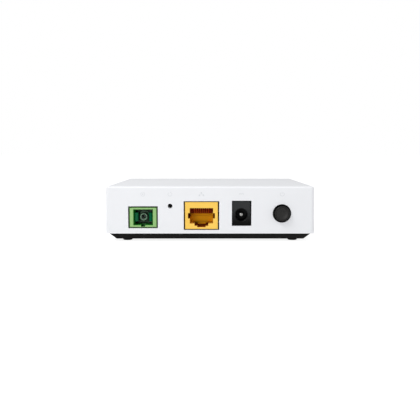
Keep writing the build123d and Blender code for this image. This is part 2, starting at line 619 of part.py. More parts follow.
def power_button_cap():
    x, z = BUTTON_X, BUTTON_Z
    cap = rod_y(x, z, CAP_RADIUS, CAP_TIP, CAP_FLANGE_BACK)
    cap = fillet(outer_loop_edges(cap, Axis.Y), CAP_EDGE)
    cap += rod_y(x, z, CAP_FLANGE_RADIUS, CAP_FLANGE_FRONT, CAP_FLANGE_BACK)
    groove = rod_y(x, z, GROOVE_RADIUS + 0.2, CAP_TIP - 1, CAP_TIP + 0.3)
    cap -= groove - rod_y(x, z, GROOVE_RADIUS - 0.2, CAP_TIP - 1, CAP_TIP + 0.3)
    ball = (DISH_RADIUS**2 + DISH_DEPTH**2) / (2 * DISH_DEPTH)
    cap -= Pos(x, CAP_TIP + DISH_DEPTH - ball, z) * Sphere(ball)
    cap += power_symbol()
    cap -= rod_y(x, z, CAP_INSIDE, CAP_TIP + 1.5, CAP_FLANGE_BACK + 1)
    cap += block(x - 2.4, x + 2.4, CAP_TIP + 1.3, STEM_BACK, z - 1.9, z + 1.9)
    half_x, half_z = PLUNGER_HALF
    return cap - block(x - half_x, x + half_x, PLUNGER_FRONT, STEM_BACK + 1, z - half_z, z + half_z)


def power_switch_plunger():
    half_x, half_z = PLUNGER_HALF
    x, z = BUTTON_X, BUTTON_Z
    return block(x - half_x, x + half_x, PLUNGER_FRONT, PLUNGER_BACK, z - half_z, z + half_z)


def power_switch_body():
    x, z = BUTTON_X, BUTTON_Z
    half = SWITCH_HALF_WIDTH
    body = block(x - half, x + half, SWITCH_FRONT, SWITCH_BACK, SWITCH_BOTTOM, BOARD_UNDER)
    body = chamfer(body.edges().filter_by(Axis.Z), 0.5)
    body += block(x - 2.8, x + 2.8, SWITCH_NOSE, SWITCH_FRONT, z - 2.3, z + 2.3)
    slide_x, slide_z = (edge + 0.12 for edge in PLUNGER_HALF)
    return body - block(x - slide_x, x + slide_x, SWITCH_NOSE - 1, CHANNEL_BACK, z - slide_z, z + slide_z)


def power_switch_spring():
    """Coil behind the plunger that pushes the button back out."""
    radius, wire_radius, turns = 0.72, 0.14, 7
    length = CHANNEL_BACK - PLUNGER_BACK - 2 * wire_radius - 0.1
    coil = Helix(pitch=length / turns, height=length, radius=radius)
    spring = sweep(Plane(coil @ 0, z_dir=coil % 0) * Circle(wire_radius), coil)
    return Pos(BUTTON_X, PLUNGER_BACK + wire_radius + 0.05, BUTTON_Z) * Rot(-90, 0, 0) * spring


def power_switch_pins():
    return group([block(x - 0.3, x + 0.3, y - 0.2, y + 0.2, BOARD_UNDER, PIN_END) for x, y in SWITCH_PINS])


# ---------------------------------------------------------------- reset switch
RESET_TIP = REAR + 3.1
RESET_FRONT = RESET_TIP + 1.6
RESET_BACK = RESET_FRONT + 3.2
RESET_BOTTOM = RESET_Z - 2.0
BRACKET_THICK = 0.25


def reset_switch_body():
    body = block(RESET_X - 3, RESET_X + 3, RESET_FRONT, RESET_BACK, RESET_BOTTOM, BOARD_UNDER)
    return body - rod_y(RESET_X, RESET_Z, 1.08, RESET_FRONT - 1, RESET_FRONT + 1.8)


def reset_switch_plunger():
    plunger = rod_y(RESET_X, RESET_Z, 1.0, RESET_TIP, RESET_FRONT + 1.8 - RESET_TRAVEL - 0.1)
    return fillet(outer_loop_edges(plunger, Axis.Y), 0.2)


def reset_switch_bracket():
    """Folded metal frame that holds the switch together and is soldered into the board."""
    x, front = RESET_X, RESET_FRONT - BRACKET_THICK
    plate = block(x - 3.25, x + 3.25, front, RESET_FRONT, RESET_BOTTOM + 0.1, BOARD_UNDER)
    plate -= rod_y(x, RESET_Z, 1.15, front - 1, RESET_FRONT + 1)
    for side in (-1, 1):
        limits = sorted((x + side * 3.0, x + side * 3.25))
        plate += block(*limits, front, RESET_BACK - 0.4, RESET_BOTTOM + 0.1, BOARD_UNDER)
        plate += block(*limits, RESET_FRONT + 0.6, RESET_FRONT + 1.8, BOARD_UNDER - 0.5, PIN_END)
    return plate


# ---------------------------------------------------------------- circuit board
CHIP_X, CHIP_Y, CHIP_SIZE, CHIP_HEIGHT = 6.0, 12.0, 15.0, 1.3
MEMORY_X, MEMORY_Y = -14.5, 12.0
CAPACITORS = [(24.5, -23.0), (39.0, -12.0), (-26.0, 24.0)]
CAPACITOR_RADIUS, CAPACITOR_HEIGHT = 3.15, 7.0
SHIELD_X, SHIELD_Y, SHIELD_HALF = -33.0, -4.0, (8.0, 7.0)
GUIDE_PEGS = [(-12.0, BOARD_FRONT - 1.7), (12.0, BOARD_FRONT - 1.7)]


def main_board():
    board = block(-BOARD_HALF_WIDTH, BOARD_HALF_WIDTH, BOARD_REAR, BOARD_FRONT, BOARD_UNDER, BOARD_TOP)
    board = fillet(board.edges().filter_by(Axis.Z), 1.0)
    z0, z1 = BOARD_UNDER - 1, BOARD_TOP + 1
    for x, y in CASE_SCREWS:
        board -= rod_z(x, y, BOSS_RADIUS + 0.4, z0, z1)
        outward = sorted((x, math.copysign(BOARD_HALF_WIDTH + 1, x)))
        board -= block(*outward, y - BOSS_RADIUS - 0.4, y + BOSS_RADIUS + 0.4, z0, z1)
    round_holes = [(x, y, 1.2) for x, y in BOARD_SCREWS]
    round_holes += [(x, y, ETHERNET_PEG_RADIUS + 0.08) for x, y in ETHERNET_PEGS]
    round_holes += [(x, y, 0.88) for x, y in FIBRE_PEGS]
    round_holes += [(x, contact_row(i), 0.42) for i, x in enumerate(CONTACT_XS)]
    round_holes += [(route[-1][0], route[-1][1], 0.32) for route in lead_routes()]
    round_holes += [(x, y, 0.45) for x, y in SWITCH_PINS]
    round_holes += [(x + dx, y, 0.4) for x, y in CAPACITORS for dx in (-1.25, 1.25)]
    round_holes += [(x, y, 0.78) for x, y in GUIDE_PEGS]
    for x, y, radius in round_holes:
        board -= rod_z(x, y, radius, z0, z1)
    pin_y = PIN_TAB_Y + TAB_THICK / 2
    board -= block(POWER_X - 1.4, POWER_X + 1.4, pin_y - 0.4, pin_y + 0.4, z0, z1)
    leaf_x = POWER_X - POWER_WIDTH / 2 - TAB_THICK / 2
    board -= block(leaf_x - 0.45, leaf_x + 0.4, LEAF_TAB_Y - 1.4, LEAF_TAB_Y + 1.4, z0, z1)
    for side in (-1, 1):
        x = RESET_X + side * 3.125
        board -= block(x - 0.3, x + 0.3, RESET_FRONT + 0.4, RESET_FRONT + 2.0, z0, z1)
    return board


def chip(x, y, width, depth, height):
    """Flat package hanging from the board, with a broken edge."""
    half_w, half_d = width / 2, depth / 2
    body = block(x - half_w, x + half_w, y - half_d, y + half_d, BOARD_UNDER - height, BOARD_UNDER)
    return chamfer(body.faces().sort_by(Axis.Z)[0].edges(), min(0.15, height / 4))


def leaded_chip(x, y, width, depth, height, leads, span):
    """Moulded package with bent leads along both long sides."""
    stand_off = 0.15
    body = chip(x, y, width, depth, height) - block(
        x - width, x + width, y - depth, y + depth, BOARD_UNDER - stand_off, BOARD_UNDER + 1
    )
    pitch = span / (leads - 1)
    for index in range(leads):
        lead_x = x - span / 2 + pitch * index
        for side in (-1, 1):
            edge, toe = y + side * (depth / 2 - 0.2), y + side * (depth / 2 + 0.9)
            knee = y + side * (depth / 2 + 0.4)
            mid = BOARD_UNDER - height / 2
            body += block(lead_x - 0.2, lead_x + 0.2, *sorted((edge, knee)), mid - 0.1, mid + 0.1)
            rise = sorted((knee - side * 0.2, knee))
            body += block(lead_x - 0.2, lead_x + 0.2, *rise, mid - 0.1, BOARD_UNDER)
            tread = sorted((knee - side * 0.2, toe))
            body += block(lead_x - 0.2, lead_x + 0.2, *tread, BOARD_UNDER - 0.2, BOARD_UNDER)
    return body


def main_chip():
    return chip(CHIP_X, CHIP_Y, CHIP_SIZE, CHIP_SIZE, CHIP_HEIGHT)


def thermal_pad():
    top = BOARD_UNDER - CHIP_HEIGHT
    return block(CHIP_X - 6.5, CHIP_X + 6.5, CHIP_Y - 6.5, CHIP_Y + 6.5, top - 0.6, top)


def heat_sink():
    """Extruded finned block stuck under the main chip."""
    half, base, fin, count = 12.0, 1.5, 5.5, 9
    top = BOARD_UNDER - CHIP_HEIGHT - 0.6
    sink = block(CHIP_X - half, CHIP_X + half, CHIP_Y - half, CHIP_Y + half, top - base, top)
    thick = 1.0
    pitch = (2 * half - thick) / (count - 1)
    for index in range(count):
        x0 = CHIP_X - half + pitch * index
        sink += block(x0, x0 + thick, CHIP_Y - half, CHIP_Y + half, top - base - fin, top - base)
    return sink


def memory_chip():
    return chip(MEMORY_X, MEMORY_Y, 9.0, 13.0, 1.0)


def flash_chip():
    return leaded_chip(-15.0, -5.0, 5.2, 5.2, 1.8, 4, 3.81)


def lan_transformer():
    return leaded_chip(ETHERNET_X, -20.0, 15.5, 7.6, 5.0, 12, 13.2)


def power_inductors():
    bodies = []
    for x, y in ((29.0, -10.0), (29.0, 2.0), (22.0, 25.5)):
        body = block(x - 3, x + 3, y - 3, y + 3, BOARD_UNDER - 3, BOARD_UNDER)
        bodies.append(chamfer(body.edges().filter_by(Axis.Z), 1.2))
    return group(bodies)


def electrolytic_capacitors():
    cans = []
    bottom = BOARD_UNDER - CAPACITOR_HEIGHT
    for x, y in CAPACITORS:
        can = rod_z(x, y, CAPACITOR_RADIUS, bottom, BOARD_UNDER)
        can = fillet(can.faces().sort_by(Axis.Z)[0].edges(), 0.5)
        neck = rod_z(x, y, CAPACITOR_RADIUS + 1, BOARD_UNDER - 1.6, BOARD_UNDER - 1.2)
        can -= neck - rod_z(x, y, CAPACITOR_RADIUS - 0.25, BOARD_UNDER - 2, BOARD_UNDER)
        for dx in (-1.25, 1.25):
            can += rod_z(x + dx, y, 0.25, BOARD_UNDER - 0.5, PIN_END)
        cans.append(can)
    return group(cans)


def crystal():
    can = block(-6.6, -3.4, 23.75, 26.25, BOARD_UNDER - 0.8, BOARD_UNDER)
    return fillet(can.faces().sort_by(Axis.Z)[0].edges(), 0.2)


def voltage_regulators():
    places = ((36.5, -2.0), (36.5, 8.0), (22.0, -14.0))
    return group([leaded_chip(x, y, 4.9, 3.9, 1.5, 4, 3.81) for x, y in places])


def laser_driver():
    return chip(SHIELD_X, SHIELD_Y, 5.0, 5.0, 0.9)


def shield_box(grow, z0, z1):
    """Box with the plan of the shield, made larger or smaller all round."""
    half_x, half_y = (half + grow for half in SHIELD_HALF)
    return block(SHIELD_X - half_x, SHIELD_X + half_x, SHIELD_Y - half_y, SHIELD_Y + half_y, z0, z1)


def shield_frame():
    """Soldered wall of the shield can round the laser driver."""
    return shield_box(0, BOARD_UNDER - 2.2, BOARD_UNDER) - shield_box(-0.3, BOARD_UNDER - 3, BOARD_UNDER + 1)


def shield_lid():
    """Pressed lid that clips over the shield frame."""
    bottom = BOARD_UNDER - 2.5
    outer = shield_box(0.3, bottom, BOARD_UNDER - 0.6)
    outer = fillet(outer.edges().filter_by(Axis.Z), 0.25)
    lid = outer - shield_box(0.02, bottom + 0.28, BOARD_UNDER)
    for row in (-1, 0, 1):
        for column in (-2, -1, 0, 1, 2):
            lid -= rod_z(SHIELD_X + 2.6 * column, SHIELD_Y + 3.6 * row, 0.6, bottom - 1, bottom + 1)
    return lid


def input_fuse():
    return chip(12.5, -22.5, 4.6, 3.2, 1.0)


def surge_diode():
    return chip(18.5, -22.5, 4.3, 3.6, 2.2)


def chip_field(x0, y0, columns, rows, step_x, step_y, size):
    """Grid of small two-ended parts."""
    width, depth, height = size
    parts = []
    for column in range(columns):
        for row in range(rows):
            parts.append(chip(x0 + step_x * column, y0 + step_y * row, width, depth, height))
    return parts


def chip_capacitors():
    near_chip = chip_field(-2.1, 25.0, 7, 1, 2.4, 1.0, (1.6, 0.8, 0.8))
    near_memory = chip_field(-21.5, 6.0, 1, 6, 1.0, 2.4, (1.6, 0.8, 0.8))
    near_power = chip_field(33.0, 14.0, 3, 3, 3.4, 2.6, (2.0, 1.25, 1.1))
    return group(near_chip + near_memory + near_power)


def chip_resistors():
    near_lan = chip_field(ETHERNET_X - 7.0, -11.5, 7, 2, 2.3, 1.8, (1.6, 0.8, 0.5))
    near_optics = chip_field(-40.0, 6.5, 6, 2, 2.6, 2.0, (1.6, 0.8, 0.5))
    near_leds = chip_field(LED_XS[0] + 3.0, BOARD_FRONT - 4.5, 4, 1, 12.0, 1.0, (1.6, 0.8, 0.5))
    return group(near_lan + near_optics + near_leds)


# ---------------------------------------------------------------- status lights
LED_Y = BOARD_FRONT - 0.9


def status_leds():
    return group([chip(x, LED_Y, 1.6, 0.8, 0.7) for x in LED_XS])


def light_guide():
    """Clear moulding that turns each light through a right angle to its window in the front wall."""
    bar_w, bar_h = LED_WINDOW[0] - 0.2, LED_WINDOW[1] - 0.2
    top, low = BOARD_UNDER - 0.9, LED_WINDOW_Z - bar_h / 2
    leg_back = BOARD_FRONT - 1.7
    nose = FRONT - 0.3
    leg_front = leg_back + bar_h
    bridge = block(LED_XS[0] - 0.9, LED_XS[-1] + 0.9, leg_back - 0.8, leg_back + 0.8, 17.8, 18.8)
    guide = bridge
    for x in LED_XS:
        guide += block(x - bar_w / 2, x + bar_w / 2, leg_back, leg_front + 0.2, low, top)
        bar = block(x - bar_w / 2, x + bar_w / 2, leg_back, nose, low, low + bar_h)
        guide += fillet(bar.edges().filter_by(Axis.Y), 0.3)
        back, under = leg_back - 0.1, low - 0.1
        mirror = Plane.YZ * Polygon((back, under), (leg_back + bar_h, under), (back, low + bar_h), align=None)
        guide -= Pos(x - bar_w, 0, 0) * extrude(mirror, 2 * bar_w, dir=(1, 0, 0))
    for x, y in GUIDE_PEGS:
        guide += rod_z(x, y, 0.7, 18.5, BOARD_TOP + 0.4)
    return guide


NODES = [
    top_cover,
    base_tray,
    rating_label,
    rubber_feet,
    case_screws,
    board_screws,
    main_board,
    fibre_port_housing,
    fibre_latch_insert,
    receptacle_tube,
    ferrule_sleeve,
    fibre_stub,
    transceiver_body,
    laser_can,
    receiver_can,
    transceiver_leads,
    ethernet_housing,
    ethernet_contact_carrier,
    ethernet_pins,
    ethernet_contact_springs,
    power_jack_housing,
    power_jack_pin,
    power_jack_leaf,
    power_jack_terminals,
    power_button_cap,
    power_switch_plunger,
    power_switch_body,
    power_switch_spring,
    power_switch_pins,
    reset_switch_body,
    reset_switch_plunger,
    reset_switch_bracket,
    main_chip,
    thermal_pad,
    heat_sink,
    memory_chip,
    flash_chip,
    lan_transformer,
    power_inductors,
    electrolytic_capacitors,
    crystal,
    voltage_regulators,
    laser_driver,
    shield_frame,
    shield_lid,
    input_fuse,
    surge_diode,
    chip_capacitors,
    chip_resistors,
    status_leds,
    light_guide,
]

os.makedirs("parts", exist_ok=True)
for build in NODES:
    export_step(build(), f"parts/{build.__name__}.step")
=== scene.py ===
import math

import bpy
from mathutils import Matrix, Vector


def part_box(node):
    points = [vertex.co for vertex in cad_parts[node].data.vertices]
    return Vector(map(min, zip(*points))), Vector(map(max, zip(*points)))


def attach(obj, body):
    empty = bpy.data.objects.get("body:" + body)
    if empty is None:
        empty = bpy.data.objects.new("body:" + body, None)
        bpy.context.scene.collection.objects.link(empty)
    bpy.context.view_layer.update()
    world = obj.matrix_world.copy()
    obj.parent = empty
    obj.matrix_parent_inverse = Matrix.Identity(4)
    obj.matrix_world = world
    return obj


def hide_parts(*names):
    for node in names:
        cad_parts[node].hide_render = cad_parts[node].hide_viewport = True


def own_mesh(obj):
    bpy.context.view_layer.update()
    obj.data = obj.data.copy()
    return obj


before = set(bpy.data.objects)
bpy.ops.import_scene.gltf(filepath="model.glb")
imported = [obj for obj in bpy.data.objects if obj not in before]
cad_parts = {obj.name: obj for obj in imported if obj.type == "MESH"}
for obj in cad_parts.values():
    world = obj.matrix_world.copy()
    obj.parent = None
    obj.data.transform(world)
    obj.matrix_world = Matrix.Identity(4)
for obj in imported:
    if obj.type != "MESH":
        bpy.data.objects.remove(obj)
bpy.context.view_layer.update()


# ---------------------------------------------------------------- Top cover
# One white ABS moulding with drafted walls, screwed to the tray from below. The tool was spark eroded,
# which leaves a very fine even grain on every outer wall.
def coordinates_scaled(material, stretch=(1, 1, 1)):
    """Position on the piece, with an optional stretch of a pattern along an axis."""
    nodes, links = material.node_tree.nodes, material.node_tree.links
    place = nodes.new("ShaderNodeTexCoord")
    mapping = nodes.new("ShaderNodeMapping")
    mapping.inputs["Scale"].default_value = stretch
    links.new(place.outputs["Object"], mapping.inputs["Vector"])
    return mapping.outputs["Vector"]


def noise(material, size, detail=2.0, stretch=(1, 1, 1)):
    """Soft random pattern whose blotches are about size metres across."""
    nodes, links = material.node_tree.nodes, material.node_tree.links
    texture = nodes.new("ShaderNodeTexNoise")
    texture.inputs["Scale"].default_value = 1 / size
    texture.inputs["Detail"].default_value = detail
    links.new(coordinates_scaled(material, stretch), texture.inputs["Vector"])
    return texture.outputs[0]


def ramp(material, factor, low_colour, high_colour, start=0.3, end=0.7):
    """Colour that runs from one tone to another as the factor rises."""
    nodes, links = material.node_tree.nodes, material.node_tree.links
    blend = nodes.new("ShaderNodeValToRGB")
    blend.color_ramp.elements[0].position = start
    blend.color_ramp.elements[1].position = end
    blend.color_ramp.elements[0].color = (*low_colour, 1)
    blend.color_ramp.elements[1].color = (*high_colour, 1)
    links.new(factor, blend.inputs["Fac"])
    return blend.outputs["Color"]


def spread(material, factor, low, high, start=0.3, end=0.7):
    """Number that runs from low to high as the factor rises."""
    nodes, links = material.node_tree.nodes, material.node_tree.links
    span = nodes.new("ShaderNodeMapRange")
    span.inputs["From Min"].default_value = start
    span.inputs["From Max"].default_value = end
    span.inputs["To Min"].default_value = low
    span.inputs["To Max"].default_value = high
    links.new(factor, span.inputs["Value"])
    return span.outputs["Result"]


def raise_surface(material, height, depth):
    """Bump of the given depth in metres."""
    nodes, links = material.node_tree.nodes, material.node_tree.links
    bump = nodes.new("ShaderNodeBump")
    bump.inputs["Distance"].default_value = depth
    links.new(height, bump.inputs["Height"])
    links.new(bump.outputs["Normal"], nodes["Principled BSDF"].inputs["Normal"])


def shades(colour, amount):
    """A darker and a lighter version of a colour."""
    return [tuple(part * (1 + step) for part in colour) for step in (-amount, amount)]


def moulded(
    name, colour, roughness, grain=0.0002, depth=0.000004, mottle=0.02, gloss=0.5, glow=0.0, wander=0.05
):
    """Moulded plastic: fine grain, faint mottling from the melt's flow, roughness that wanders a little."""
    material = bpy.data.materials.new(name)
    material.use_nodes = True
    links = material.node_tree.links
    shader = material.node_tree.nodes["Principled BSDF"]
    shader.inputs["Specular IOR Level"].default_value = gloss
    if glow:
        shader.inputs["Subsurface Weight"].default_value = glow
        shader.inputs["Subsurface Radius"].default_value = (1.0, 0.7, 0.3)
        shader.inputs["Subsurface Scale"].default_value = 0.0012
    links.new(ramp(material, noise(material, 0.012), *shades(colour, mottle)), shader.inputs["Base Color"])
    patches = noise(material, 0.006, detail=3)
    links.new(spread(material, patches, roughness - wander, roughness + wander), shader.inputs["Roughness"])
    raise_surface(material, noise(material, grain, detail=1), depth)
    return material


def finish_node(node, material):
    """Gives a solid of the frame its finish."""
    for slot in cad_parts[node].material_slots:
        slot.material = material


cover_white = moulded(
    "cover_white",
    (0.775, 0.785, 0.81),
    0.45,
    grain=0.00018,
    depth=0.000003,
    mottle=0.004,
    gloss=0.35,
    wander=0.015,
)
finish_node("top_cover", cover_white)


# ---------------------------------------------------------------- Printed marks over the ports
# Pad-printed pictures in pale grey ink, one over each port, in place of words: a light spot, a turning arrow,
# a small network, the direct-current sign and the standby ring.
MARK_HEIGHT = 0.0240
MARK_STROKE = 0.00022
RING_RADIUS = 0.0010
RING_SIDES = 72
INK_THICK = 0.00002
WALL_LEAN = math.radians(0.9)
COVER_BOTTOM_Z = 0.0042
REAR_WALL_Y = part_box("top_cover")[0].y
MARK_Y = REAR_WALL_Y + math.tan(WALL_LEAN) * (MARK_HEIGHT - COVER_BOTTOM_Z)
mark_ink = moulded("mark_ink", (0.64, 0.655, 0.68), 0.5, grain=0.00006, depth=0.000002, mottle=0.03)


def start_piece():
    """Leaves edit mode with nothing selected, ready for a new primitive."""
    if bpy.context.object and bpy.context.object.mode != "OBJECT":
        bpy.ops.object.mode_set(mode="OBJECT")
    bpy.ops.object.select_all(action="DESELECT")


def ink_bar(x0, x1, y0, y1):
    """Flat printed bar."""
    start_piece()
    bpy.ops.mesh.primitive_plane_add(size=1, location=((x0 + x1) / 2, (y0 + y1) / 2, 0))
    bar = bpy.context.object
    bar.scale = (x1 - x0, y1 - y0, 1)
    bpy.ops.object.transform_apply(location=True, scale=True)
    bpy.ops.object.mode_set(mode="EDIT")
    bpy.ops.mesh.select_all(action="SELECT")
    bpy.ops.mesh.subdivide(number_cuts=2)
    bpy.ops.object.mode_set(mode="OBJECT")
    return bar


def ink_ring(radius, stroke, opening=0.0):
    """Printed ring, with an optional opening of that many degrees at its top."""
    start_piece()
    bpy.ops.mesh.primitive_circle_add(vertices=RING_SIDES, radius=radius + stroke / 2, fill_type="NGON")
    ring = bpy.context.object
    bpy.ops.object.mode_set(mode="EDIT")
    bpy.ops.mesh.select_mode(type="FACE")
    bpy.ops.mesh.select_all(action="SELECT")
    bpy.ops.mesh.inset(thickness=stroke)
    bpy.ops.object.mode_set(mode="OBJECT")
    for face in ring.data.polygons:
        off_top = abs(math.atan2(face.center.x, face.center.y))
        face.select = len(face.vertices) > 4 or off_top < math.radians(opening) / 2
    bpy.ops.object.mode_set(mode="EDIT")
    bpy.ops.mesh.delete(type="FACE")
    bpy.ops.object.mode_set(mode="OBJECT")
    return ring


def ink_dot(x, y, radius, corners=24, turn=0.0):
    """Filled spot, or a triangle when it has three corners."""
    start_piece()
    bpy.ops.mesh.primitive_circle_add(
        vertices=corners, radius=radius, fill_type="TRIFAN", location=(x, y, 0), rotation=(0, 0, turn)
    )
    bpy.ops.object.transform_apply(location=True, rotation=True)
    return bpy.context.object


def print_mark(name, x, pieces):
    """Joins the pieces, gives the ink its thickness and lays it on the rear wall."""
    start_piece()
    for piece in pieces:
        piece.select_set(True)
    mark = pieces[0]
    bpy.context.view_layer.objects.active = mark
    bpy.ops.object.join()
    for face in mark.data.polygons:
        face.select = face.normal.z < 0
    bpy.ops.object.mode_set(mode="EDIT")
    bpy.ops.mesh.flip_normals()
    bpy.ops.object.mode_set(mode="OBJECT")
    thickness = mark.modifiers.new("ink", "SOLIDIFY")
    thickness.thickness = INK_THICK
    thickness.offset = 1
    bpy.ops.object.modifier_apply(modifier="ink")
    mark.name = name
    mark.data.name = name
    mark.data.transform(Matrix.Rotation(math.pi / 2 - WALL_LEAN, 4, "X"))
    mark.data.transform(Matrix.Translation((x, MARK_Y, MARK_HEIGHT)))
    mark.data.materials.clear()
    mark.data.materials.append(mark_ink)
    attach(mark, "chassis")


port_x = {
    port: (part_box(node)[0].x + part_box(node)[1].x) / 2
    for port, node in {
        "fibre": "fibre_port_housing",
        "reset": "reset_switch_plunger",
        "ethernet": "ethernet_housing",
        "power": "power_jack_pin",
        "button": "power_button_cap",
    }.items()
}

LIGHT_SPOT_RADIUS = 0.00035
light_spot = ink_dot(0, 0, LIGHT_SPOT_RADIUS)
print_mark("mark_fibre", port_x["fibre"], [ink_ring(RING_RADIUS, MARK_STROKE), light_spot])

ARROW_RADIUS = 0.00040
ARROW_TURN = math.radians(72)
arrow_tip = ink_dot(0.00034, 0.00096, ARROW_RADIUS, corners=3, turn=ARROW_TURN)
print_mark("mark_reset", port_x["reset"], [ink_ring(RING_RADIUS, MARK_STROKE, opening=90), arrow_tip])

BRANCH_X = 0.0010
BOX_HALF = 0.0004
BOX_INNER, BOX_OUTER = 0.0003, 0.0010
LINK_HALF = 0.00009
network = [
    ink_bar(-BOX_HALF, BOX_HALF, BOX_INNER, BOX_OUTER),
    ink_bar(-LINK_HALF, LINK_HALF, LINK_HALF, BOX_INNER),
    ink_bar(-BRANCH_X, BRANCH_X, -LINK_HALF, LINK_HALF),
]
for x in (-BRANCH_X, BRANCH_X):
    network.append(ink_bar(x - BOX_HALF, x + BOX_HALF, -BOX_OUTER, -BOX_INNER))
    network.append(ink_bar(x - LINK_HALF, x + LINK_HALF, -BOX_INNER, -LINK_HALF))
print_mark("mark_ethernet", port_x["ethernet"], network)

DIRECT_HALF = 0.0012
DIRECT_LINE_Y = 0.00025
DASH_LINE_Y = -0.00035
DASH_HALF = 0.0003
direct_current = [ink_bar(-DIRECT_HALF, DIRECT_HALF, DIRECT_LINE_Y, DIRECT_LINE_Y + MARK_STROKE)]
for x in (DASH_HALF - DIRECT_HALF, 0, DIRECT_HALF - DASH_HALF):
    direct_current.append(ink_bar(x - DASH_HALF, x + DASH_HALF, DASH_LINE_Y, DASH_LINE_Y + MARK_STROKE))
print_mark("mark_power", port_x["power"], direct_current)

STANDBY_LINE_Y = (0.0001, 0.0012)
standby_line = ink_bar(-MARK_STROKE / 2, MARK_STROKE / 2, *STANDBY_LINE_Y)
print_mark("mark_standby", port_x["button"], [ink_ring(RING_RADIUS, MARK_STROKE, opening=70), standby_line])


# ---------------------------------------------------------------- Base tray
# Black ABS moulding with sloped edges and snap hooks. Its floor has the cooling slots and the two
# keyholes for a wall. The grain is coarser than the cover's.
tray_black = moulded(
    "tray_black", (0.0105, 0.0095, 0.0095), 0.62, grain=0.0003, depth=0.000008, mottle=0.15, gloss=0.12
)
finish_node("base_tray", tray_black)


# ---------------------------------------------------------------- Rating label
# Matt silver film stuck in a shallow recess under the tray, left blank.
label_film = moulded("label_film", (0.58, 0.59, 0.60), 0.35, grain=0.0004, depth=0.000002, mottle=0.02)
finish_node("rating_label", label_film)


# ---------------------------------------------------------------- Rubber feet
# Four soft black discs, pressed into round recesses in the tray's floor.
foot_rubber = moulded(
    "foot_rubber", (0.008, 0.008, 0.008), 0.8, grain=0.00025, depth=0.00001, mottle=0.2, gloss=0.15
)
finish_node("rubber_feet", foot_rubber)


# ---------------------------------------------------------------- Screws
# Cross-head self-tapping screws: four in black zinc for the case, driven from below, and four in bright
# zinc for the board.
def metal(name, colour, roughness, brushed=(1, 1, 1), depth=0.000001, wander=0.08, mottle=0.05):
    """Bare or plated metal, with fine marks drawn out along one axis where it is brushed or rolled."""
    material = bpy.data.materials.new(name)
    material.use_nodes = True
    links = material.node_tree.links
    shader = material.node_tree.nodes["Principled BSDF"]
    shader.inputs["Metallic"].default_value = 1.0
    blotches = noise(material, 0.004, detail=3)
    links.new(ramp(material, blotches, *shades(colour, mottle)), shader.inputs["Base Color"])
    marks = noise(material, 0.0002, detail=3, stretch=brushed)
    smoothest = max(roughness - wander, 0.02)
    links.new(spread(material, marks, smoothest, roughness + wander), shader.inputs["Roughness"])
    raise_surface(material, marks, depth)
    return material


screw_black = metal("screw_black", (0.09, 0.09, 0.095), 0.38, mottle=0.2)
screw_bright = metal("screw_bright", (0.62, 0.60, 0.55), 0.28, mottle=0.1)
finish_node("case_screws", screw_black)
finish_node("board_screws", screw_bright)


# ---------------------------------------------------------------- Fibre port
# Light green housing with a dark teal insert. The insert's two arms hold the plug, and the bright tube in the
# middle takes its ceramic ferrule. Shade in the mouth is painted: housing, insert and tube turn darker with
# depth, and the tube and ceramic are given a dim grey-green that stands for the shade and green reflection
# they sit in.
PORT_FACE_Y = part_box("fibre_port_housing")[0].y


def past(material, axis, start, end):
    """0 on one side of start and 1 on the far side of end, along one axis of the piece."""
    place = material.node_tree.nodes.new("ShaderNodeSeparateXYZ")
    material.node_tree.links.new(coordinates_scaled(material), place.inputs["Vector"])
    return spread(material, place.outputs[axis], 0, 1, start, end)


def overlap(material, first, second):
    """1 where two regions are both 1."""
    product = material.node_tree.nodes.new("ShaderNodeMath")
    product.operation = "MULTIPLY"
    material.node_tree.links.new(first, product.inputs[0])
    material.node_tree.links.new(second, product.inputs[1])
    return product.outputs[0]


def tint(material, colour, share):
    """Turns a finish to another colour where a share of 0 to 1 says so."""
    nodes, links = material.node_tree.nodes, material.node_tree.links
    base = nodes["Principled BSDF"].inputs["Base Color"]
    blend = nodes.new("ShaderNodeMix")
    blend.data_type = "RGBA"
    untinted, tinted = (socket for socket in blend.inputs if socket.type == "RGBA")
    links.new(share, blend.inputs["Factor"])
    links.new(base.links[0].from_socket, untinted)
    tinted.default_value = (*colour, 1)
    links.new(next(socket for socket in blend.outputs if socket.type == "RGBA"), base)


def paint_mouth_light_and_shade(material, colour, reach, region=None, start=0.00015):
    """Paints shade, and in the Ethernet jack bounced light, into a port's mouth: the colour turns to another
    between the depths start and reach inside it.
    """
    share = past(material, "Y", PORT_FACE_Y + start, PORT_FACE_Y + reach)
    if region:
        share = overlap(material, share, region)
    tint(material, colour, share)


fibre_green = moulded(
    "fibre_green", (0.265, 0.48, 0.172), 0.35, grain=0.0005, depth=0.000004, mottle=0.03, gloss=0.3
)
# Painted shade: the green turns dark deeper in the mouth.
paint_mouth_light_and_shade(fibre_green, (0.004, 0.165, 0.010), reach=0.0008)
fibre_teal = moulded(
    "fibre_teal", (0.004, 0.17, 0.075), 0.3, grain=0.0005, depth=0.000004, mottle=0.06, gloss=0.3
)
# Painted shade: the teal turns darker deeper in.
paint_mouth_light_and_shade(fibre_teal, (0.001, 0.075, 0.018), reach=0.0045)
# The tube's dim grey-green is painted shade and painted green reflection, and it turns darker still deeper
# in.
tube_metal = metal("tube_metal", (0.17, 0.25, 0.18), 0.3, brushed=(1, 0.1, 1))
paint_mouth_light_and_shade(tube_metal, (0.02, 0.06, 0.03), reach=0.006)
# Painted shade: the ceramic is given a dim grey-green in place of its own white.
ceramic_painted_shade = moulded("ceramic_painted_shade", (0.30, 0.34, 0.31), 0.15, grain=0.0002, depth=0.0000005, mottle=0.01)
finish_node("fibre_port_housing", fibre_green)
finish_node("fibre_latch_insert", fibre_teal)
finish_node("receptacle_tube", tube_metal)
finish_node("ferrule_sleeve", ceramic_painted_shade)
finish_node("fibre_stub", ceramic_painted_shade)


